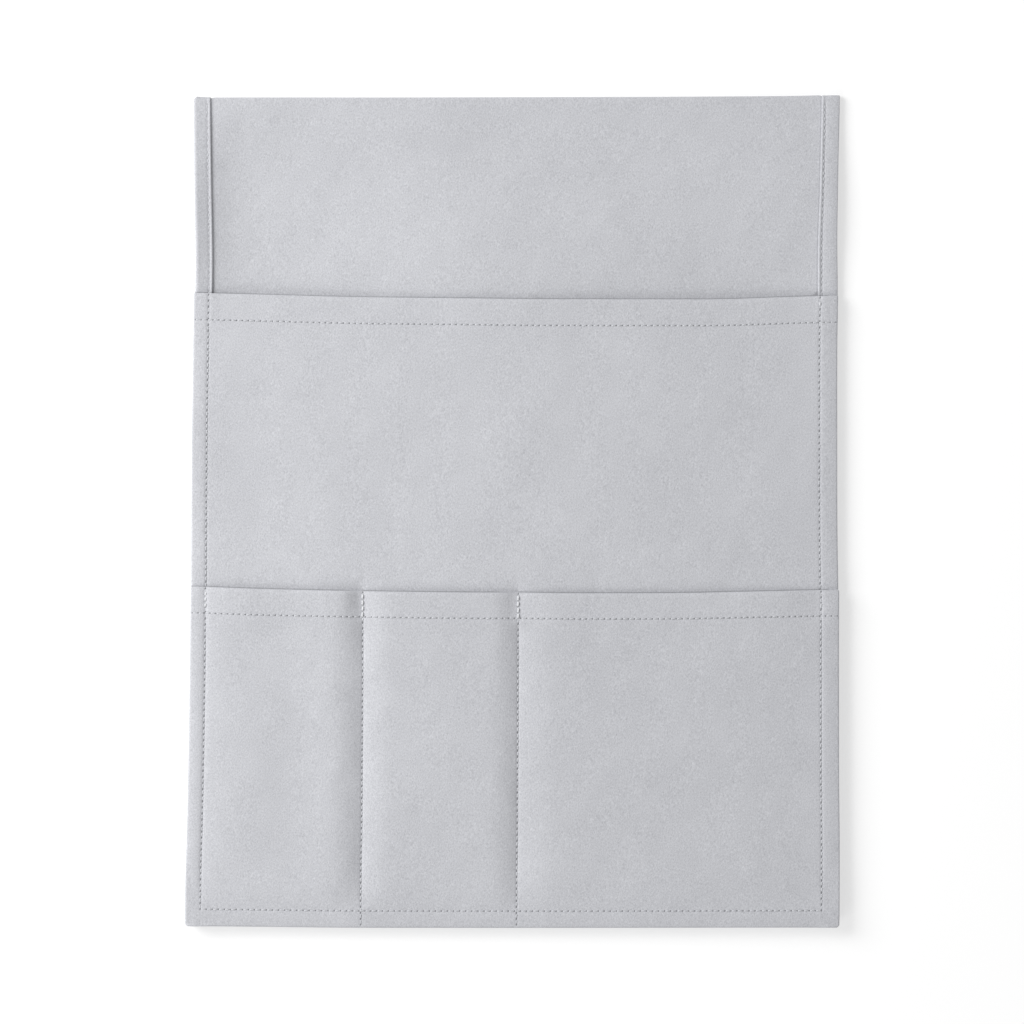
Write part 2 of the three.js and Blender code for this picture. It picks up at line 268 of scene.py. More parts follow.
def ripples(x, y, size, seed):
    """Low waves in the cloth: a sum of sines in a few seeded directions, 50 to 120 mm long."""
    draw = np.random.default_rng(seed)
    total = 0
    for length in (52, 64, 81, 97, 118):
        angle, phase = draw.uniform(0, math.pi), draw.uniform(0, 2 * math.pi)
        along = x * math.cos(angle) + y * math.sin(angle)
        total = total + np.sin(2 * math.pi * along / length + phase) * length / 80
    return size * total / 5


# Cuts of cloth, lying flat with turned edges
def grid_lines(low, high, spacing, rows=(), extra=()):
    """Even lines from low to high, with dense ones about each row of stitches in their place."""
    even = np.linspace(low, high, round((high - low) / spacing) + 1)
    about = [row + np.concatenate([-ROW_LINES[:0:-1], ROW_LINES]) for row in rows]
    dense = np.concatenate([*about, np.array(extra, float)])
    dense = dense[(dense > low + END_MARGIN) & (dense < high - END_MARGIN)]
    if len(dense):
        clear = np.abs(even[:, None] - dense[None, :]).min(1) > EVEN_MARGIN
        clear[[0, -1]] = True
        even = even[clear]
    lines = np.sort(np.concatenate([even, dense]))
    return lines[np.concatenate([[True], np.diff(lines) > LINE_GAP])]


def hem_lines(depth, rows=(), spacing=HEM_SPACING):
    """Lines across the turned part of a hem, dense about its row and where its cut edge rounds."""
    body = grid_lines(REACH, depth - RIM, spacing, rows)[1:]
    rim = depth - RIM * (1 - np.sin(np.linspace(0, math.pi / 2, 5)[1:]))
    return np.concatenate([body, rim])


def edge_lines(ends, spacing, rows, low_hem, high_hem=None):
    """The lines across a cut whose ends are turned over, as two rows of an array.

    The first is 0 on the flat, 1 in a bend and 2 in the turned part, and negative at the low end.
    The second is a place on the flat, an angle in a bend, and a distance from the edge beyond it.
    """
    start = ends[0] + REACH
    end = ends[1] if high_hem is None else ends[1] - REACH
    flat = grid_lines(start, end, spacing, rows, [*(start + CORNER_LINES), *(end - CORNER_LINES)])
    bend = np.linspace(0, math.pi, BEND_STEPS + 1)[1:]
    low_end = np.array([[-1] * len(bend) + [-2] * len(low_hem), [*bend, *low_hem]])
    lines = [low_end[:, ::-1], [0 * flat, flat]]
    if high_hem is not None:
        lines.append([[1] * len(bend) + [2] * len(high_hem), [*bend, *high_hem]])
    return np.concatenate(lines, axis=1)


def turn(axis, radius, half, height, towards):
    """Turns a flat cut's ends over: returns the place along the axis and the new height.

    A bend goes round an axis that lies radius above the middle of the cloth. Beyond it the cloth
    runs back above itself, at twice the radius less its old height. At the high end the sine and
    the cosine of the bend are raised to the power of its squareness.
    """
    part, at = axis.lines
    low, high = axis.ends
    reach = radius + half
    angle = np.where(np.abs(part) == 1, at, math.pi / 2)
    power = np.where(part > 0, axis.squareness, 1.0)
    edge = np.where(part < 0, low, high)
    inward = np.where(part < 0, 1.0, -1.0)
    height = height * towards
    to_low, to_high = (np.clip(1 - away / SHIFT_FADE, 0, 1) * (hem is not None)
                       for away, hem in zip((at - low, high - at), axis.hems))
    flat = at + (reach - REACH) * (to_low - to_high)
    bent = edge + inward * (reach - (radius - height) * np.sin(angle) ** power)
    back = edge + inward * at
    over = radius - (radius - height) * signed_power(np.cos(angle), power)
    where = [part == 0, np.abs(part) == 1]
    height = np.select(where, [height, over], 2 * radius - height)
    return np.select(where, [flat, bent], back), height * towards


def hem_zone(axis):
    """1 where a hem lies under or over the cloth, 0 in the open, eased between."""
    part, at = axis.lines
    zone = 0 * at
    for away, hem in zip((at - axis.ends[0], axis.ends[1] - at), axis.hems):
        if hem is not None:
            zone = np.maximum(zone, 1 - ease(away, hem, ZONE_EASE))
    return np.where(part == 0, zone, 1.0)


def rim_round(axis):
    """Share of the thickness left near a cut edge: a quarter circle over the last stretch."""
    part, at = axis.lines
    depth = np.where(part < 0, *(hem or FAR for hem in axis.hems))
    past = np.where(np.abs(part) == 2, (at - depth + RIM) / RIM, 0)
    return np.sqrt(1 - np.clip(past, 0, RIM_END) ** 2)


def turned_cut(first, second, towards, bead=0):
    """Both faces of a rectangular cut with turned edges, lying flat with its middle at height 0.

    The first axis is turned first. Where both hems meet there are four plies, pressed thin, and
    the second bend goes round them all, so its radius is three of theirs. Returns both faces as
    (first place, second place, height), and where four plies lie.
    """
    first = first._replace(lines=[line[None, :] for line in first.lines])
    second = second._replace(lines=[line[:, None] for line in second.lines])
    first_zone = hem_zone(first)
    second_zone = hem_zone(second)
    corner = first_zone * second_zone
    half = HALF * (1 - (1 - PRESSED) * corner)
    rounding = rim_round(first) * rim_round(second)
    first_radius = BEND * (1 - (1 - PRESSED) * second_zone)
    second_radius = BEND * (1 + (3 * PRESSED - 1) * first_zone)
    faces = []
    for side in (1, -1):
        height = side * half * rounding
        if side == -towards:
            height = height - towards * bead * (1 - second_zone) * rounding
        place, height = turn(first, first_radius, half, height, towards)
        other, height = turn(second, second_radius, half, height, towards)
        faces.append(np.broadcast_arrays(place, other, height))
    return faces, corner


# Rows of stitches in the cloth
def pressed(x, y, rows):
    """How deep the rows pull the cloth in: along each row a valley with a bell-shaped section."""
    depth = np.zeros(np.broadcast(x, y).shape)
    for (x0, y0), (x1, y1) in rows:
        past_x = np.maximum(np.maximum(x0 - x, x - x1), 0)
        past_y = np.maximum(np.maximum(y0 - y, y - y1), 0)
        valley = UPRIGHT_VALLEY if x0 == x1 else ACROSS_VALLEY
        bell = np.exp(-((np.hypot(past_x, past_y) / VALLEY_REACH) ** 2))
        depth = np.maximum(depth, valley * bell)
    return depth


def row_marks(x, y, rows, upright):
    """Stitches counted along the nearest row that runs up (or across), and the distance from it.

    Needle holes are where the count is whole. Past the end of a row the distance is to its end.
    """
    count = np.zeros(np.broadcast(x, y).shape)
    distance = np.full(count.shape, 50.0)
    for (x0, y0), (x1, y1) in rows:
        if (x0 == x1) != upright:
            continue
        aside, along, low, high = (x - x0, y, y0, y1) if upright else (y - y0, x, x0, x1)
        beyond = np.maximum(np.maximum(low - along, along - high), 0)
        away = np.copysign(np.hypot(aside, beyond), aside)
        stitches = (along - low) * max(round((high - low) / PITCH), 1) / (high - low)
        nearer = np.abs(away) < np.abs(distance)
        count, distance = np.where(nearer, stitches, count), np.where(nearer, away, distance)
    return count, distance


# Heights of the cloths
def border_swell(x, y):
    """The strips outside the outer seam climb from the edge, ever less steeply.

    The left one has a crest before the seam, and the cloth sinks back inside the seams.
    """
    share = (x + EDGE_X) / (LEFT_SEAM_X + EDGE_X)
    fall = np.clip((share - CREST_SHARE) / (1 - CREST_SHARE), 0, 1) ** 2
    left = (rise(share, CREST_SHARE) - CREST_FALL * fall) * (1 - ease(x, LEFT_SEAM_X, width=30))
    left = along_points(LEFT_CREST, y, reach=10) * left
    right = rise(EDGE_X - x, EDGE_X - RIGHT_SEAM_X) - ease(RIGHT_SEAM_X - x, width=14)
    puff = spring(np.maximum(x - RIGHT_SEAM_X, 0), reach=1.3)
    puff = RIGHT_PUFF * puff * rise(EDGE_X - x, reach=9)
    right = np.maximum(RIGHT_PILLOW * right, 0) + puff
    bottom = BOTTOM_PILLOW * rise(y - BOTTOM_Y, BOTTOM_SEAM_Y - BOTTOM_Y)
    bottom = bottom * (1 - ease(y, BOTTOM_SEAM_Y, width=30))
    return np.maximum(np.maximum(left, right), bottom)


def panel_height(x, y):
    """Middle of the panel's cloth: it sags beside its left hem and swells in its middle.

    It is level at the fold, and again low down, where the flap's end hem lies behind it.
    """
    below_fold = FOLD_Y - y
    above_end = ease(y, FLAP_END_Y + FLAP_END_HEM, width=60)
    from_left = np.maximum(x + EDGE_X - LEFT_HEM - 1, 0)
    from_right = np.maximum(EDGE_X - RIGHT_HEM - x, 0)
    sag = PANEL_SAG * spring(from_left, SAG_REACH) * rise(from_right, reach=220)
    half = np.where(x < PANEL_CROWN_X, *PANEL_CROWN_HALVES)
    swell = PANEL_CROWN * arch(x, PANEL_CROWN_X, half) - PANEL_DIP * arch(x, 120, 46)
    inside = ease(np.minimum(from_left, from_right), width=15)
    swell = swell + ripples(x, y, size=0.16, seed=3) * inside
    swell = ease(below_fold, width=90) * swell - ease(below_fold, width=30) * sag
    side = LEFT_SHOULDER * (1 - spring(from_left, reach=12))
    side = side + LEFT_TILT * np.maximum(LEFT_HEM - EDGE_X - x, 0)
    side = side + RIGHT_SHOULDER * ease(x, start=20, width=130)
    side = side * ease(below_fold, start=6, width=45) * ease(y, start=107, width=34)
    return PANEL_Z + PANEL_RISE * ease(below_fold, width=45) + above_end * swell + side


def flap_height(x, y):
    """The flap sags to the ground between its hems."""
    from_hem = np.minimum(x + EDGE_X - LEFT_HEM, EDGE_X - RIGHT_HEM - x)
    from_hem = np.maximum(np.minimum(from_hem, y - FLAP_END_Y - FLAP_END_HEM), 0)
    return PANEL_Z + ease(FOLD_Y - y, width=30) * FLAP_SAG * spring(from_hem, SAG_REACH)


def pocket_lift(x, y):
    """How far the lower pockets' cloth rises free of its seams, and 0 on the outer strips."""
    uneven = 1 + sum(share * np.sin(y / up + x / across) for share, up, across in UNEVENNESS)
    from_left = np.maximum(x - LEFT_SEAM_X, 0)
    lift = PUFF * spring(from_left, reach=1.6) * (1 - ease(from_left, width=40))
    at_tack = ease(y, LOWER_MOUTH_Y - TACK_REACH, TACK_REACH)
    narrowed = uneven * (1 - TACK_NARROWING * at_tack)
    for left, right, left_reach, right_reach, height in LOWER_POCKETS:
        from_right = np.maximum(right - x, 0)
        from_right = from_right - at_tack * TACK_TOE * spring(from_right, TACK_TOE)
        across = rise(x - left, left_reach * uneven)
        across = across * shouldered(from_right, right_reach * narrowed)
        lift = lift + height * across
    ridge = 1 + RIDGE * ease(x, start=-112, width=24) * (x < LEFT_DIVIDER_X)
    near_mouth = 1 + MOUTH_LIFT * ease(y, LOWER_MOUTH_Y - MOUTH_LIFT_REACH, MOUTH_LIFT_REACH)
    return lift * ridge * near_mouth * rise(y - BOTTOM_SEAM_Y, reach=26)


def lift_behind(x, y):
    """How far the upper pocket's cloth rises behind the lower ones. Above them it flattens out."""
    above_mouth = np.maximum(y - LOWER_MOUTH_Y, 0)
    held = pocket_lift(x, np.minimum(y, LOWER_MOUTH_Y))
    free = FOLLOW_HEIGHT * rise(x - LEFT_SEAM_X, 40) * rise(RIGHT_SEAM_X - x, 60)
    filled = free + (held - free) * np.exp(-above_mouth / DIP_FADE)
    return FOLLOW * filled * np.exp(-((above_mouth / FOLLOW_FADE) ** 2))


def from_seams(x, y):
    """Distance to the nearest side of the outer seam, and negative outside it."""
    return np.minimum(np.minimum(x - LEFT_SEAM_X, RIGHT_SEAM_X - x), y - BOTTOM_SEAM_Y)


def rounded_mouth(y, mouth):
    """How far the cloth bends down in the last stretch before a mouth's edge."""
    return MOUTH_ROUND * (1 - ease(mouth - y, start=0.4, width=1.4))


def upper_height(x, y):
    """Middle of the upper pocket's cloth: an arch across, and half of one up from the bottom."""
    crown = BROAD_CROWN * arch(x, 0, -LEFT_SEAM_X) * rise(y - BOTTOM_SEAM_Y, reach=110)
    wave = ripples(x, y, size=0.2, seed=5) * ease(from_seams(x, y), width=25)
    return (UPPER_Z + crown + wave + lift_behind(x, y) + border_swell(x, y)
            - rounded_mouth(y, UPPER_MOUTH_Y))


def lower_height(x, y):
    """Middle of the lower pockets' cloth: down on the upper one along its rows, free between."""
    lift = pocket_lift(x, y)
    near_hem = 1 - spring(np.maximum(from_seams(x, y), 0), reach=24)
    behind_mouth = 2 * BEND * ease(y, LOWER_MOUTH_Y - MOUTH_HEM - ZONE_EASE, ZONE_EASE)
    behind_mouth = behind_mouth * (1 - spring(lift, reach=1.5))
    pile = np.maximum(near_hem * (2 * BEND + HEM_AIR), behind_mouth)
    own = (1 - FOLLOW) * lift + ripples(x, y, size=0.14, seed=9) * np.clip(lift, 0, 1)
    return upper_height(x, y) + PLY_STEP + pile + own - rounded_mouth(y, LOWER_MOUTH_Y)


# The outline
def round_corner(x, y, bottom):
    """Draws the two bottom corners in to a quarter circle."""
    over_x = np.maximum(np.abs(x) - EDGE_X + CORNER, 0)
    over_y = np.maximum(bottom + CORNER - y, 0)
    distance = np.maximum(np.hypot(over_x, over_y), 1e-9)
    keep = np.where((over_x > 0) & (over_y > 0), np.maximum(over_x, over_y) / distance, 1)
    new_x = np.copysign(EDGE_X - CORNER + over_x * keep, x)
    new_y = bottom + CORNER - over_y * keep
    return np.where(over_x > 0, new_x, x), np.where(over_y > 0, new_y, y)


def lip_lean(x, y):
    """The right hem's inner edge leans in down to the upper pocket, and its outer edge doesn't."""
    down = 1 - ease(y, start=108, width=60)
    return -LIP_LEAN * down * ease(x, start=110, width=30) * (1 - ease(x, start=151, width=8))


def row_drift(x, y):
    """How far the dividers' rows lie aside, low down: a smooth arch about each of them."""
    down = np.clip((LOWER_MOUTH_Y - y) / (LOWER_MOUTH_Y - BOTTOM_Y), 0, 1)
    return down * sum(drift * arch(x, row_x, half_width=38) for row_x, drift in ROW_DRIFTS)


def lay(cloth, x, y, height):
    """Puts points of a flat cut where they lie: (x, y, z) with the piece's outline and heights.

    The flap is laid as if it were in front, and mirrored in the level of the fold line.
    """
    left, right = cloth["edges"](y)
    climb = np.clip((y - BOTTOM_Y) / (cloth.get("mouth", FOLD_Y) - BOTTOM_Y), 0, 1)
    sag = along_points(cloth.get("sag", LEVEL), x, SMOOTH) * climb
    low = along_points(BOTTOM_SAG, x, reach=20) * (1 - ease(climb * BOTTOM_SHARE))
    round_x, round_y = round_corner(x, y, cloth.get("end", BOTTOM_Y))
    lean = lip_lean(x, y) if "lean" in cloth else row_drift(x, y)
    laid_x = (left + right) / 2 + round_x * (right - left) / (2 * EDGE_X) + lean
    laid_y = round_y + sag + low * cloth.get("low", 1)
    bottom, top = cloth["pile"]
    share = np.clip((height - bottom) / (top - bottom), 0, 1)
    laid_z = cloth["height"](x, y) + height - pressed(x, y, cloth["rows"]) * share
    if cloth is flap:
        laid_y = np.minimum(laid_y, FOLD_Y - FOLD_GAP)
        laid_z = 2 * FOLD_Z - laid_z
    return np.stack(np.broadcast_arrays(laid_x, laid_y, laid_z), axis=-1)


def edges_of(left_points, right_points):
    """The two side edges as a function of y."""
    return lambda y: [along_points(points, y, SMOOTH) for points in (left_points, right_points)]


def flap_edges(y):
    """The flap keeps just inside the front's left edge, and is cut straight where that is wider."""
    below = FOLD_Y - y
    left = along_points(PANEL_LEFT, y, SMOOTH) + FLAP_TUCK * spring(below, reach=12)
    right = FLAP_RIGHT + (PANEL_RIGHT[0][1] - FLAP_RIGHT) * (1 - spring(below, reach=40))
    return np.maximum(left, -FLAP_RIGHT), right


# The rows of stitches, before they are warped to the outline
SEAMS_X = (LEFT_SEAM_X, RIGHT_SEAM_X)
DIVIDERS_X = (LEFT_DIVIDER_X, RIGHT_DIVIDER_X)
HEM_ROWS_X = (-EDGE_X + LEFT_HEM_ROW, EDGE_X - RIGHT_HEM_ROW)
UPPER_ROW_Y = UPPER_MOUTH_Y - UPPER_MOUTH_ROW
LOWER_ROW_Y = LOWER_MOUTH_Y - LOWER_MOUTH_ROW
FLAP_ROW_Y = FLAP_END_Y + FLAP_END_ROW
ROW_END = EDGE_X - 0.9  # where the mouth rows stop
UNDER_MOUTH = 0.6  # the upright rows stop that far below a mouth
ROW_TOP = FOLD_Y - 1.8
BEHIND_MOUTH = 6.0  # the hem rows go on that far behind the upper pocket
DIVIDER_END = BOTTOM_Y + 1.6


def row_across(y, left, right):
    return (left, y), (right, y)


def rows_up(low, high, places):
    return [((x, low), (x, high)) for x in places]


bottom_row = row_across(BOTTOM_SEAM_Y, *SEAMS_X)
upper_mouth_row = row_across(UPPER_ROW_Y, -ROW_END, ROW_END)
lower_mouth_row = row_across(LOWER_ROW_Y, -ROW_END, ROW_END)
upper_side_rows = rows_up(LOWER_MOUTH_Y + UNDER_MOUTH, UPPER_MOUTH_Y - UNDER_MOUTH, SEAMS_X)
lower_side_rows = rows_up(BOTTOM_SEAM_Y, LOWER_MOUTH_Y - UNDER_MOUTH, SEAMS_X)
divider_rows = rows_up(DIVIDER_END, LOWER_MOUTH_Y - UNDER_MOUTH, DIVIDERS_X)
hem_rows = rows_up(UPPER_MOUTH_Y - BEHIND_MOUTH, ROW_TOP, HEM_ROWS_X)
flap_rows = [*rows_up(FLAP_ROW_Y, ROW_TOP, HEM_ROWS_X), row_across(FLAP_ROW_Y, *HEM_ROWS_X)]

# Each cloth: its outline and heights, its rows and how dark the painted shade in their needle holes
# is, the heights between which its plies lie, its mouth, and the mouth that lies over it, under
# which a shade line is painted
turned_back = (-2 * BEND - HALF, HALF)
turned_front = (-HALF, 2 * BEND + HALF)
lower_rows = [*lower_side_rows, *divider_rows]
panel = {"edges": edges_of(PANEL_LEFT, PANEL_RIGHT), "height": panel_height, "rows": hem_rows,
         "holes": 0.32, "pile": turned_front, "under": (UPPER_MOUTH_Y, UPPER_SAG), "lean": True}
flap = {"edges": flap_edges, "height": flap_height, "rows": flap_rows, "holes": 0.7,
        "pile": turned_front, "low": 0, "end": FLAP_END_Y}
upper = {"edges": edges_of(UPPER_LEFT, UPPER_RIGHT), "height": upper_height,
         "rows": [bottom_row, upper_mouth_row, *upper_side_rows, *lower_rows], "pile": turned_back,
         "sag": UPPER_SAG, "mouth": UPPER_MOUTH_Y, "under": (LOWER_MOUTH_Y, LOWER_SAG)}
lower = {"edges": edges_of(LOWER_LEFT, LOWER_RIGHT), "height": lower_height,
         "rows": [bottom_row, lower_mouth_row, *lower_rows], "pile": turned_back,
         "sag": LOWER_SAG, "mouth": LOWER_MOUTH_Y}


# Materials. Each colour is given as red, green, blue and 1.
DARK_NAP = (0.36, 0.364, 0.388, 1)
LIGHT_NAP = (0.77, 0.778, 0.814, 1)
# Painted shade: the colour of the shadow inside a needle hole
HOLE_SHADE = (0.17, 0.172, 0.185, 1)
SUNK_THREAD = (0.58, 0.588, 0.615, 1)
# Painted highlight: the lighter colour of tack thread that stands up and catches the light
HIGHLIT_THREAD = (0.76, 0.768, 0.79, 1)
# Painted shade: the colour of a thread's end, where it dives into the shadow of its hole
HOLE_SHADED_THREAD = (0.3, 0.305, 0.32, 1)
WHITE = (1, 1, 1, 1)
FIBRES = 2000  # how many grains of the nap there are in a metre
# Painted shade lines under the mouths and at the right hem's lip:
MOUTH_SHADE_BELOW = 0.2  # how far below a mouth the middle of its dark line lies
MOUTH_SHADE_DARKNESS = 0.44
# Strength of the painted needle hole shade:
HOLE_SHADE_DARKNESS = 0.85  # on the pockets


def new_material(name):
    material = bpy.data.materials.new(name)
    material.use_nodes = True
    return material, material.node_tree, material.node_tree.nodes["Principled BSDF"]


def set_inputs(tree, node, inputs):
    """Sets a node's inputs by name: each is another node's output or a plain value."""
    for name, value in inputs.items():
        if isinstance(value, bpy.types.NodeSocket):
            tree.links.new(value, node.inputs[name])
        else:
            node.inputs[name].default_value = value


def node_output(tree, kind, output, inputs, **settings):
    """One output of a new node."""
    node = tree.nodes.new(f"ShaderNode{kind}")
    for name, value in settings.items():
        setattr(node, name, value)
    set_inputs(tree, node, inputs)
    return node.outputs[output]


def math_node(tree, operation, *values):
    """One math node: each value is another node's output or a number."""
    return node_output(tree, "Math", 0, dict(enumerate(values)), operation=operation)


def attribute(tree, name):
    return node_output(tree, "Attribute", "Fac", {}, attribute_name=name)


def noise(tree, vector, scale, detail, roughness=0.5):
    inputs = {"Vector": vector, "Scale": scale, "Detail": detail, "Roughness": roughness}
    return node_output(tree, "TexNoise", "Fac", inputs)


def weighed(tree, terms):
    """The sum of noise values about their middle, each times its weight."""
    total = 0.0
    for value, weight in terms:
        term = math_node(tree, "MULTIPLY_ADD", value, weight, -weight / 2)
        total = math_node(tree, "ADD", term, total)
    return total


def stretched(tree, vector, direction, stretch):
    """Coordinates for noise that is drawn out along a direction, given in degrees from X."""
    turned = (0, 0, math.radians(direction))
    inputs = {"Vector": vector, "Rotation": turned, "Scale": (stretch, 1, 1)}
    return node_output(tree, "Mapping", "Vector", inputs, vector_type="TEXTURE")


def fade(tree, value, full, gone):
    """1 where the value is at most full, 0 where it is at least gone, smooth between."""
    inputs = {"Value": value, "From Min": full, "From Max": gone, "To Min": 1, "To Max": 0}
    return node_output(tree, "MapRange", "Result", inputs, interpolation_type="SMOOTHSTEP")


def mixed(tree, factor, first, second):
    """A colour mixed by a node's output from two colours or outputs."""
    inputs = {"Factor": factor, "A": first, "B": second}
    return node_output(tree, "Mix", "Result", inputs, data_type="RGBA")


def bumped(tree, height, strength, depth):
    """Small relief in the shading: how much of it shows, and how deep it is, in metres."""
    inputs = {"Height": height, "Strength": strength, "Distance": depth}
    return node_output(tree, "Bump", "Normal", inputs)


def needle_hole_shade(tree, way, half_length, half_width, lean):
    """Painted shade in the needle holes of the rows that run one way: 1 in leaning ellipses, a
    stitch apart.
    """
    stitches = math_node(tree, "ADD", attribute(tree, f"stitches_{way}"), 0.5)
    from_hole = math_node(tree, "SUBTRACT", math_node(tree, "FRACT", stitches), 0.5)
    along = math_node(tree, "MULTIPLY", from_hole, PITCH)
    aside = math_node(tree, "MULTIPLY_ADD", along, -lean, attribute(tree, f"from_row_{way}"))
    along = math_node(tree, "DIVIDE", along, half_length)
    aside = math_node(tree, "DIVIDE", aside, half_width)
    square = math_node(tree, "MULTIPLY", along, along)
    square = math_node(tree, "MULTIPLY_ADD", aside, aside, square)
    return fade(tree, square, full=0.35, gone=1.5)


def suede_material():
    """Brushed faux suede: clouds in the nap, fine grain, slanting fibres, and painted shade in the
    needle holes, under the mouths and beside the right hem's lip.
    """
    material, tree, shader = new_material("brushed_suede")
    place = node_output(tree, "TexCoord", "Object", {})
    brushed = stretched(tree, place, direction=57, stretch=1.8)
    clouds = noise(tree, brushed, scale=30, detail=4)
    mottle = noise(tree, brushed, scale=120, detail=3)
    grain, fibres, crossing = [
        noise(tree, stretched(tree, place, direction, stretch), FIBRES, 1, roughness)
        for direction, stretch, roughness in ((90, 1.4, 0.6), (60, 2.0, 0.5), (120, 2.0, 0.5))]
    tone = [(clouds, 0.9), (mottle, 0.4), (grain, 2.3), (fibres, 2.0), (crossing, 1.7)]
    tone = weighed(tree, tone)
    shade = node_output(tree, "MapRange", "Result", {"Value": tone, "From Min": -2, "From Max": 2})
    nap = mixed(tree, shade, DARK_NAP, LIGHT_NAP)
    # Painted shade in the needle holes, for the shadow where the thread dives into the cloth
    holes = math_node(tree, "MAXIMUM",
                      needle_hole_shade(tree, "up", half_length=0.8, half_width=0.37, lean=0.16),
                      needle_hole_shade(tree, "across", half_length=0.34, half_width=0.44, lean=0.1))
    holes = math_node(tree, "MULTIPLY", holes, attribute(tree, "hole_depth"))
    # A painted shade line under each mouth, for the shadow in the crevice under its edge
    from_line = math_node(tree, "ADD", attribute(tree, "above_mouth"), MOUTH_SHADE_BELOW)
    mouth_shade_line = fade(tree, math_node(tree, "ABSOLUTE", from_line), full=0.45, gone=1.0)
    mouth_shade_line = math_node(tree, "MULTIPLY", mouth_shade_line, MOUTH_SHADE_DARKNESS)
    painted_shade = math_node(tree, "MAXIMUM", holes, mouth_shade_line)
    relief = weighed(tree, [(grain, 1.0), (fibres, 1.0), (crossing, 0.8)])
    set_inputs(tree, shader, {"Base Color": mixed(tree, painted_shade, nap, HOLE_SHADE),
                              "Normal": bumped(tree, relief, strength=0.3, depth=0.00015),
                              "Roughness": 0.95, "Specular IOR Level": 0.2,
                              "Sheen Weight": 0.12, "Sheen Roughness": 0.55})
    return material


def thread_material():
    """Twisted sewing thread: the plies wind round it, each stitch has painted shade where it dives
    into its hole, and raised tack threads have a painted highlight.
    """
    material, tree, shader = new_material("twisted_thread")
    colour = mixed(tree, attribute(tree, "proud"), SUNK_THREAD, HIGHLIT_THREAD)
    winding = math_node(tree, "SINE", attribute(tree, "ply"))
    colour = mixed(tree, attribute(tree, "dive"), colour, HOLE_SHADED_THREAD)
    set_inputs(tree, shader, {"Base Color": colour,
                              "Normal": bumped(tree, winding, strength=0.4, depth=0.00006),
                              "Roughness": 0.7, "Sheen Weight": 0.1})
    return material


suede = suede_material()
thread = thread_material()

# The painted shade line under a mouth stands for the shadow in the crevice under its edge. It is
# narrower where the distances that its material reads are shifted. It fades left of each divider
# and ends before the right edge. The right hem's lip has a painted shade line at its foot too.
LOWER_SHADE_SHIFT = 0.12
DIVIDER_SHADE_SHIFT = 0.45
EDGE_SHADE_SHIFT = 2.0
LIP_SHADE_SHIFT = 0.35
LIP_SHADE_STEEPNESS = 1.1
LIP_SHADE_X = EDGE_X - RIGHT_HEM - 0.5
FIRST_PLY_TOP = HALF + 0.05  # a little above it


def above_mouth(cloth, flat_x, flat_z, laid_y):
    """How far each point of a cloth is above the mouth that lies over it, shifted as said above:
    the material paints the shade line where this is near 0.
    """
    mouth, sag = cloth.get("under", (FAR, LEVEL))
    above = laid_y - mouth - along_points(sag, flat_x, SMOOTH)
    if mouth == LOWER_MOUTH_Y:
        for divider in DIVIDERS_X:
            closed = ease(flat_x - divider, start=-12, width=8) * (flat_x < divider)
            above = above + DIVIDER_SHADE_SHIFT * closed * (above > -1)
        above = above + LOWER_SHADE_SHIFT
    above = above + EDGE_SHADE_SHIFT * ease(flat_x, start=EDGE_X - 5, width=2.5)
    # A painted shade line along the foot of the right hem's lip, on the panel's own face
    if "lean" in cloth:
        from_lip = LIP_SHADE_SHIFT + LIP_SHADE_STEEPNESS * np.abs(LIP_SHADE_X - flat_x)
        above = np.where(flat_z < FIRST_PLY_TOP, np.minimum(above, from_lip), above)
    return above


# Making meshes
def make_object(name, data):
    """Puts a mesh, a light or a camera into the scene."""
    made = bpy.data.objects.new(name, data)
    bpy.context.scene.collection.objects.link(made)
    return made


def make_mesh(name, points, faces):
    """An object from points in millimetres and arrays of faces, turned to face outwards."""
    triangles = [f[:, [0, k, k + 1]] for f in faces for k in range(1, f.shape[1] - 1)]
    a, b, c = np.moveaxis(points[np.concatenate(triangles)], 1, 0)
    if np.einsum("ij,ij->", a, np.cross(b, c)) < 0:
        faces = [f[:, ::-1] for f in faces]
    mesh = bpy.data.meshes.new(name)
    mesh.from_pydata((points * MM).tolist(), [], [face for f in faces for face in f.tolist()])
    mesh.polygons.foreach_set("use_smooth", np.ones(len(mesh.polygons), bool))
    mesh.validate()
    mesh.set_sharp_from_angle(angle=math.radians(60))
    return make_object(name, mesh)


def set_attributes(piece, **attributes):
    """Gives each point of a piece what its material reads."""
    for name, values in attributes.items():
        target = piece.data.attributes.new(name, "FLOAT", "POINT").data
        values = np.broadcast_to(np.ravel(values), len(target))
        target.foreach_set("value", np.ascontiguousarray(values, np.float32))


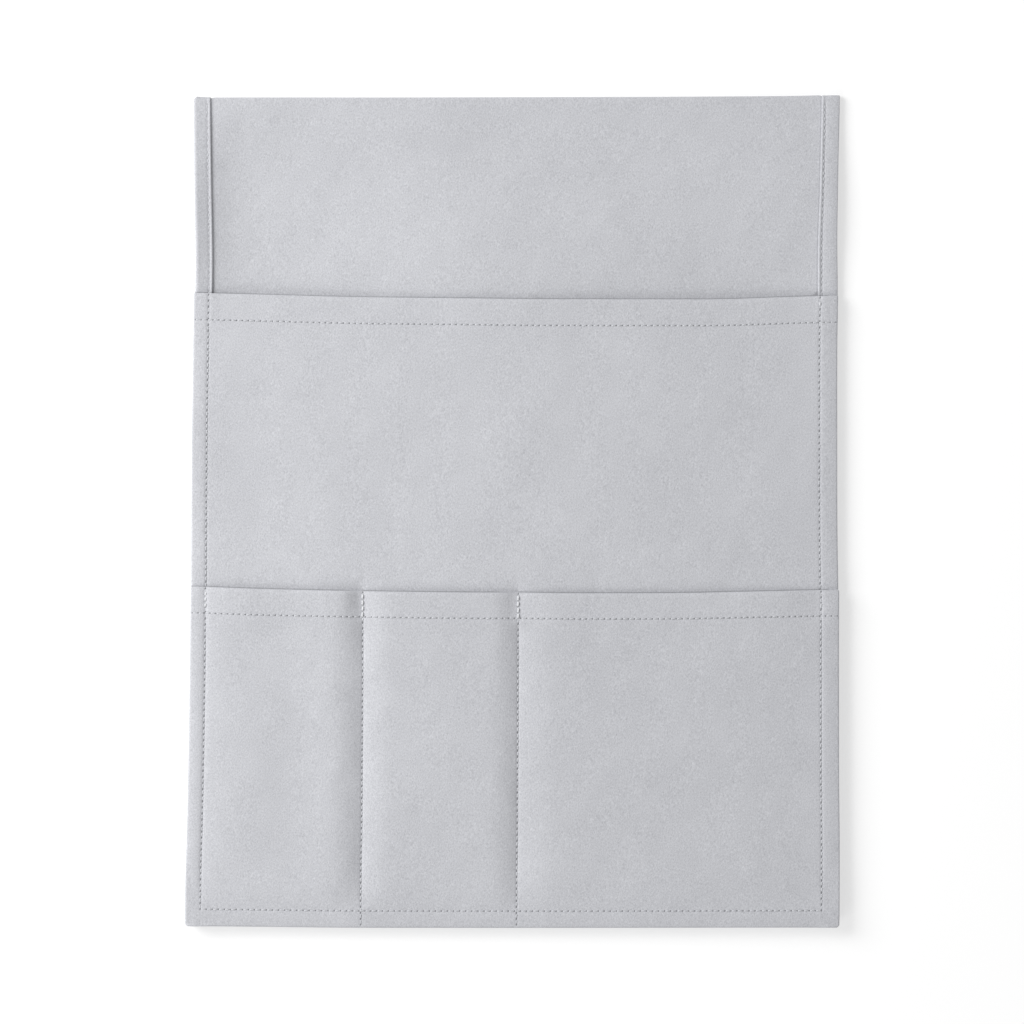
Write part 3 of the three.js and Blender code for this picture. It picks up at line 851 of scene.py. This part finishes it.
def make_sheet(name, cloth, faces, laid=None):
    """A closed sheet from its two faces, each an array of rows of points, joined at their rims.

    The faces are given as they lie on the flat cut, and laid out unless they are given as laid too.
    The sheet carries what its material reads about the painted shade in needle holes and the
    painted shade lines under mouths.
    """
    top, bottom = laid or [lay(cloth, *face) for face in faces]
    index = np.arange(top[..., 0].size).reshape(top.shape[:2])
    quads = np.stack([index[:-1, :-1], index[:-1, 1:], index[1:, 1:], index[1:, :-1]], -1)
    quads = quads.reshape(-1, 4)
    below = np.roll(quads[:, ::-1], 1, axis=1) + index.size
    rim_top = np.concatenate([index[0], index[1:, -1], index[-1, -2::-1], index[-2:0:-1, 0]])
    rim_under = rim_top + index.size
    rim = np.stack([rim_top, rim_under, np.roll(rim_under, -1), np.roll(rim_top, -1)], -1)
    points = np.concatenate([top.reshape(-1, 3), bottom.reshape(-1, 3)])
    piece = make_mesh(name, points, [quads, below, rim])
    flat = [np.stack(np.broadcast_arrays(*face), -1).reshape(-1, 3) for face in faces]
    flat_x, flat_y, flat_z = np.concatenate(flat).T
    for way in ("up", "across"):
        stitches, from_row = row_marks(flat_x, flat_y, cloth["rows"], way == "up")
        set_attributes(piece, **{f"stitches_{way}": stitches, f"from_row_{way}": from_row})
    # The strength of the painted hole shade, and the distances that place the painted shade lines
    set_attributes(piece, hole_depth=cloth.get("holes", HOLE_SHADE_DARKNESS),
                   above_mouth=above_mouth(cloth, flat_x, flat_z, points[:, 1]))
    piece.data.materials.append(suede)
    return piece


# The cloth pieces
def strip_across():
    """The strip's axis across, its side hems turned to the front, and what their top gains.

    The top of a hem swells along its turned edge, and in a bead along its inner edge, which also
    lifts off the panel.
    """
    left = hem_lines(LEFT_HEM, [LEFT_HEM_ROW], SIDE_HEM_SPACING)
    right = hem_lines(RIGHT_HEM, [RIGHT_HEM_ROW], SIDE_HEM_SPACING)
    part, at = edge_lines(SIDES_X, STRIP_SPACING, [EDGE_X - RIGHT_HEM], left, right)
    axis = Axis((part, at), SIDES_X, (LEFT_HEM, RIGHT_HEM), RIGHT_SQUARENESS)
    at_left = part < 0
    depth = np.where(at_left, LEFT_HEM, RIGHT_HEM)
    row = np.where(at_left, LEFT_HEM_ROW, RIGHT_HEM_ROW)
    turned = np.abs(part) == 2
    bent = np.where(np.abs(part) == 1, ((1 - np.cos(at)) / 2) ** 2, 0)
    share = (at - row) / (depth - row)
    along_bead = np.clip(0.15 + 0.75 * share, 0, 1)
    bead = BEAD * np.sin(math.pi * along_bead) * ease(share, start=-0.2, width=0.6)
    to_edge = np.clip((row - at) / (row - REACH), 0, 1)
    left_roll = LEFT_ROLL * np.where(turned, to_edge, bent)
    right_roll = RIGHT_ROLL * np.where(turned, to_edge - to_edge**3, 0)
    roll = np.where(at_left, left_roll, right_roll)
    return axis, turned * bead, roll, turned * LIP_LIFT * ease(share)


strip_axis, strip_bead, strip_roll, strip_lift = strip_across()


def strip_cut(low, end_hem, front):
    """The strip from its turned end up to the fold, lying flat. Only its front half swells."""
    hem = hem_lines(end_hem, () if front else [FLAP_END_ROW])
    ends = (low, FOLD_Y)
    axis_up = Axis(edge_lines(ends, STRIP_SPACING, (), hem), ends, (end_hem, None))
    part, at = (line[:, None] for line in axis_up.lines)
    y = np.where(part == 0, at, low)
    in_sight = front * ease(y, UPPER_MOUTH_Y - 5, width=5)
    bead, roll = (gain * (FOLD_GAIN + (1 - FOLD_GAIN) * ease(FOLD_Y - y, width=climb))
                  for gain, climb in ((strip_bead, 16), (strip_roll, 70)))
    faces, corner = turned_cut(strip_axis, axis_up, 1, np.maximum(bead, roll) * in_sight)
    lift = strip_lift * in_sight * ease(FOLD_Y - y, width=90)
    sunk = 0 if front else CORNER_STAND * corner
    return [(x, y, z + lift - sunk) for x, y, z in faces]


def fold_piece():
    """The strip's section carried half round the fold line, each ply on its own radius.

    Half way round, every ply is pushed out by the same bulge, so that the fold reaches as far as
    FOLD_REACH says, and its left end is drawn in to a rounded corner.
    """
    corner_width, corner_depth, corner_end = FOLD_CORNER
    angles = np.linspace(0, math.pi, FOLD_STEPS)[:, None]
    axis = strip_axis._replace(lines=[line[None, :] for line in strip_axis.lines])
    gain = np.maximum(strip_bead, strip_roll) * FOLD_GAIN * (1 + np.cos(angles)) / 2
    rounding = rim_round(axis)
    on_hem = hem_zone(axis._replace(hems=(LEFT_HEM - ZONE_EASE / 2, RIGHT_HEM - ZONE_EASE / 2)))
    stack = PANEL_Z - FOLD_Z + HALF + on_hem * (2 * BEND + FOLD_SWELL)
    laid, faces = [], []
    for height in (HALF * rounding, -(HALF + gain) * rounding):
        x, z = turn(axis, BEND, HALF, height, 1)
        section = lay(panel, x + 0 * angles, FOLD_Y + 0 * angles * x, z)
        section_x, section_z = section[..., 0], section[..., 2] - FOLD_Z
        bulge = np.maximum(along_points(FOLD_REACH, section_x, SMOOTH) - stack, FOLD_FOLLOW)
        outward = (section_z + bulge * np.sin(angles)) * np.sin(angles) ** FOLD_SQUARENESS
        out = np.clip(outward / corner_depth, 0, 1)
        at_end = np.clip(1 - (section_x - section_x.min()) / corner_width, 0, 1)
        drawn_in = CORNER * (1 - np.sqrt(1 - corner_end * out**2)) * at_end
        level = FOLD_Z + section_z * signed_power(np.cos(angles), FOLD_SQUARENESS)
        laid.append(np.stack([section_x + drawn_in, FOLD_Y + outward, level], -1))
        faces.append((x, FOLD_Y + FAR + 0 * angles, z))
    return make_sheet("fold_cloth", panel, faces, laid)


def pocket_piece(name, cloth, row_y):
    """A pocket's cloth, its mouth and bottom turned under first and then its sides."""
    side_hem = hem_lines(POCKET_HEM)
    mouth_hem = hem_lines(MOUTH_HEM, [MOUTH_HEM - 2])
    ends = (BOTTOM_Y, cloth["mouth"])
    lines_x = edge_lines(SIDES_X, POCKET_SPACING, [*SEAMS_X, *DIVIDERS_X], side_hem, side_hem)
    lines_y = edge_lines(ends, POCKET_SPACING, [BOTTOM_SEAM_Y, row_y], hem_lines(BOTTOM_HEM),
                         mouth_hem)
    axis_across = Axis(lines_x, SIDES_X, (POCKET_HEM, POCKET_HEM), RIGHT_SQUARENESS)
    swapped, corner = turned_cut(Axis(lines_y, ends, (BOTTOM_HEM, MOUTH_HEM)), axis_across, -1)
    return make_sheet(name, cloth, [(x, y, z + CORNER_STAND * corner) for y, x, z in swapped])


front_cloth = make_sheet("front_cloth", panel, strip_cut(BOTTOM_Y, BOTTOM_HEM, True))
fold_cloth = fold_piece()
flap_cloth = make_sheet("flap_cloth", flap, strip_cut(FLAP_END_Y, FLAP_END_HEM, False))
upper_cloth = pocket_piece("upper_pocket_cloth", upper, UPPER_ROW_Y)
lower_cloth = pocket_piece("lower_pocket_cloth", lower, LOWER_ROW_Y)


# The stitches
def face_of(cloth, height):
    """Where a face of a cloth lies, as a function of the place on its cut."""
    return lambda x, y: lay(cloth, x, y, height + 0 * x)


def row_of_stitches(start, end, place, up=1, gap=1.0, lift=0.06, radius=THREAD, aside=0.0,
                    slant=0.03, dive=0.42):
    """The stitches of one straight row: each is a thread arch that dives into the cloth.

    Along a stitch the thread's centre is at lift * (1 - s**4) - dive * s**4, with s the share of
    its half length. A ring of points goes round it. Returns the points, and the twist and the
    share of painted hole shade of each, as arrays of stitch by ring by side.
    """
    start, end = np.array(start, float), np.array(end, float)
    length = np.linalg.norm(end - start)
    along = (end - start) / length
    side = np.array([-along[1], along[0]])
    count = max(round(length / PITCH), 1)
    pitch = length / count
    share = np.linspace(-1, 1, STATIONS)
    reach = share * ((pitch - gap) / 2 + OVERLAP)
    height = lift * (1 - share**4) - dive * share**4
    steps = np.stack([np.gradient(reach), np.gradient(height)], -1)
    steps = steps / np.linalg.norm(steps, axis=-1, keepdims=True)
    angle = np.linspace(0, 2 * math.pi, SIDES, endpoint=False) - math.pi / 2
    shift_along, shift_aside, shift_up = [random.normal(0, s, (count, 1)) for s in SPREADS]
    places = (np.arange(count)[:, None] + 0.5) * pitch + shift_along + reach
    centre = start + places[..., None] * along
    flat = centre + (aside + shift_aside + slant * share)[..., None] * side
    surface = place(flat[..., 0], flat[..., 1])
    surface[..., 2] = place(centre[..., 0], centre[..., 1])[..., 2] + up * (height + shift_up)
    normal = steps[:, :1] * np.array([0, 0, up]) - steps[:, 1:] * np.array([*along, 0])
    ring = np.cos(angle)[:, None] * np.array([*side, 0]) + np.sin(angle)[:, None] * normal[:, None]
    points = surface[:, :, None, :] + radius * ring
    twist = 2 * math.pi * reach[:, None] / TWIST_LENGTH + 2 * angle
    # Painted shade on the thread's ends, where it dives into its hole
    sunk = np.abs(share[:, None]) ** 9
    return points, *(np.broadcast_to(values, points.shape[:3]) for values in (twist, sunk))


def make_stitches(name, rows, node, body="front", proud=0):
    """One piece from rows of stitches, each stitch a closed tube, that stands for a CAD row."""
    points, twist, sunk = (np.concatenate(part) for part in zip(*rows))
    ring = np.arange(SIDES)
    beside = np.roll(ring, -1)
    low = np.arange(STATIONS - 1)[:, None] * SIDES
    high = low + SIDES
    tube = np.stack([low + ring, low + beside, high + beside, high + ring], -1)
    caps = np.stack([ring[::-1], ring + (STATIONS - 1) * SIDES])
    first = np.arange(len(points))[:, None, None] * STATIONS * SIDES
    faces = [(first + part).reshape(-1, part.shape[-1]) for part in (tube.reshape(-1, 4), caps)]
    piece = make_mesh(name, points.reshape(-1, 3), faces)
    # The material paints hole shade at each stitch's ends and a highlight on raised tack threads
    set_attributes(piece, ply=twist, dive=sunk, proud=proud)
    piece.data.materials.append(thread)
    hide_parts(node)
    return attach(piece, body)


on_lower = face_of(lower, HALF)
on_upper = face_of(upper, HALF)
on_hem = face_of(panel, 2 * BEND + HALF)
on_panel_back = face_of(panel, -HALF)
on_flap_hem = face_of(flap, 2 * BEND + HALF)
on_flap_inside = face_of(flap, -HALF)


def bobbin_row(row, place=on_panel_back, up=-1):
    """The same row's threads on the back of the cloths that it holds."""
    return row_of_stitches(*row, place, up=up, lift=BOBBIN)


def upright_row(row, place):
    """The threads of the outer seam and the dividers, whose holes are drawn out and lean."""
    return row_of_stitches(*row, place, gap=1.3, lift=0.09, slant=-0.1)


outer_stitches = [row_of_stitches(*bottom_row, on_lower), bobbin_row(bottom_row)]
outer_stitches += [upright_row(row, on_lower) for row in lower_side_rows]
outer_stitches += [upright_row(row, on_upper) for row in upper_side_rows]
outer_stitches += [bobbin_row(row) for row in [*lower_side_rows, *upper_side_rows]]
make_stitches("outer_stitches", outer_stitches, "outer_seam")

for level, row, place in (("upper", upper_mouth_row, on_upper),
                          ("lower", lower_mouth_row, on_lower)):
    make_stitches(f"{level}_mouth_stitches", [row_of_stitches(*row, place)], f"{level}_mouth_seam")

for side, row in zip(("left", "right"), hem_rows):
    rows = [row_of_stitches(*row, on_hem, gap=1.3, slant=0.22, lift=0.04), bobbin_row(row)]
    make_stitches(f"{side}_hem_stitches", rows, f"{side}_hem_seam")

for side, x, row in zip(("left", "right"), DIVIDERS_X, divider_rows):
    make_stitches(f"{side}_divider_stitches", [upright_row(row, on_lower)], f"{side}_divider_seam")
    ends = [(x, LOWER_MOUTH_Y - below) for below in DIVIDER_TACK]
    tack = row_of_stitches(*ends, on_lower, gap=1.3, lift=0.62, radius=0.48, aside=0.1,
                           slant=-0.05, dive=0.3)
    make_stitches(f"{side}_divider_tack_stitches", [tack], f"{side}_divider_backtack", proud=1)

# The tacks at the mouths' ends, each from low to high below its mouth. Most of their threads have
# sunk in, and a few stand higher, with a painted highlight in their colour.
for level, side, x, mouth, place, low, high, proud in (
        ("upper", "left", LEFT_SEAM_X, UPPER_MOUTH_Y, on_upper, 9.6, 0.9, 0),
        ("upper", "right", RIGHT_SEAM_X, UPPER_MOUTH_Y, on_upper, 5.2, 2.4, 0.8),
        ("lower", "left", LEFT_SEAM_X, LOWER_MOUTH_Y, on_lower, 10.2, 1.9, 1),
        ("lower", "right", RIGHT_SEAM_X, LOWER_MOUTH_Y, on_lower, 8.7, 5.9, 0.5)):
    tack = row_of_stitches((x, mouth - low), (x, mouth - high), place, gap=1.15 + 0.5 * proud,
                           lift=0.5 * proud, radius=0.32 + 0.12 * proud, slant=-0.05, dive=0.3)
    make_stitches(f"{level}_{side}_tack_stitches", [tack], f"{level}_{side}_backtack", proud=proud)

flap_stitches = []
for row in flap_rows:
    flap_stitches.append(row_of_stitches(*row, on_flap_hem, up=-1, lift=-0.22))
    flap_stitches.append(bobbin_row(row, on_flap_inside, up=1))
make_stitches("flap_hem_stitches", flap_stitches, "flap_hem_seam", "flap")

# The cloth rides on its bodies and hides the CAD parts that it stands for; the fold is on neither
for piece, body, node in ((front_cloth, "front", "front_panel"), (flap_cloth, "flap", "tuck_flap"),
                          (upper_cloth, "front", "upper_pocket"),
                          (lower_cloth, "front", "lower_pocket"), (fold_cloth, None, "top_fold")):
    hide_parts(node)
    if body:
        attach(piece, body)
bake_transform(fold_cloth)

# The floor, the light and the camera
FLOOR_HALF = 4000.0
FLOOR_COLOUR = (0.55, 0.55, 0.55, 1)
FLOOR_GLOW = 0.52  # as the camera sees it
FLOOR_FILL = 0.42  # as the light that it gives to the edges
WORLD_FILL = 0.385
PIXEL = 0.49  # what a pixel shows
PIXELS = 1024  # across the picture
LENS = 135
SENSOR = 36
CLOTH_LEVEL = 3.0  # at which a pixel shows that much


def lit(tree, seen, fill):
    """The strength seen directly, in a mirror or through glass, and the fill for other rays."""
    camera, glossy, clear = (node_output(tree, "LightPath", f"Is {kind} Ray", {})
                             for kind in ("Camera", "Glossy", "Transmission"))
    shown = math_node(tree, "MAXIMUM", math_node(tree, "MAXIMUM", camera, glossy), clear)
    return math_node(tree, "MULTIPLY_ADD", shown, seen - fill, fill)


def make_floor():
    corners = np.array([(-1, -1, 0), (1, -1, 0), (1, 1, 0), (-1, 1, 0)]) * FLOOR_HALF
    floor = make_mesh("floor", corners, [np.array([[0, 1, 2, 3]])])
    material, tree, shader = new_material("pale_floor")
    set_inputs(tree, shader, {"Base Color": FLOOR_COLOUR, "Roughness": 1.0,
                              "Specular IOR Level": 0.0, "Emission Color": WHITE,
                              "Emission Strength": lit(tree, FLOOR_GLOW, FLOOR_FILL)})
    floor.data.materials.append(material)


def make_world():
    world = bpy.data.worlds.new("studio")
    bpy.context.scene.world = world
    world.use_nodes = True
    tree = world.node_tree
    strength = lit(tree, 1, WORLD_FILL)
    set_inputs(tree, tree.nodes["Background"], {"Color": WHITE, "Strength": strength})


def add_light(name, place, size, power):
    """A square soft light at a place in metres, facing the middle of the object."""
    lamp = bpy.data.lights.new(name, "AREA")
    lamp.shape = "SQUARE"
    lamp.size = size
    lamp.energy = power
    light = make_object(name, lamp)
    light.location = place
    light.rotation_mode = "QUATERNION"
    light.rotation_quaternion = (-light.location).to_track_quat("-Z", "Y")


def make_camera():
    """Straight above the middle, at the distance where the frame is as wide as its pixels show."""
    data = bpy.data.cameras.new("camera")
    data.sensor_width = SENSOR
    data.lens = LENS
    data.clip_end = 20
    camera = make_object("camera", data)
    distance = PIXEL * PIXELS * LENS / SENSOR
    camera.location = (-PIXEL / 2 * MM, 0, (distance + CLOTH_LEVEL) * MM)
    bpy.context.scene.camera = camera


make_floor()
make_world()
add_light("key_light", place=(-1.5, 0.77, 1.16), size=1.3, power=40.0)
add_light("low_fill_light", place=(-1.0, -1.5, 1.2), size=1.2, power=11.5)
make_camera()
bpy.context.scene.view_settings.view_transform = "Standard"
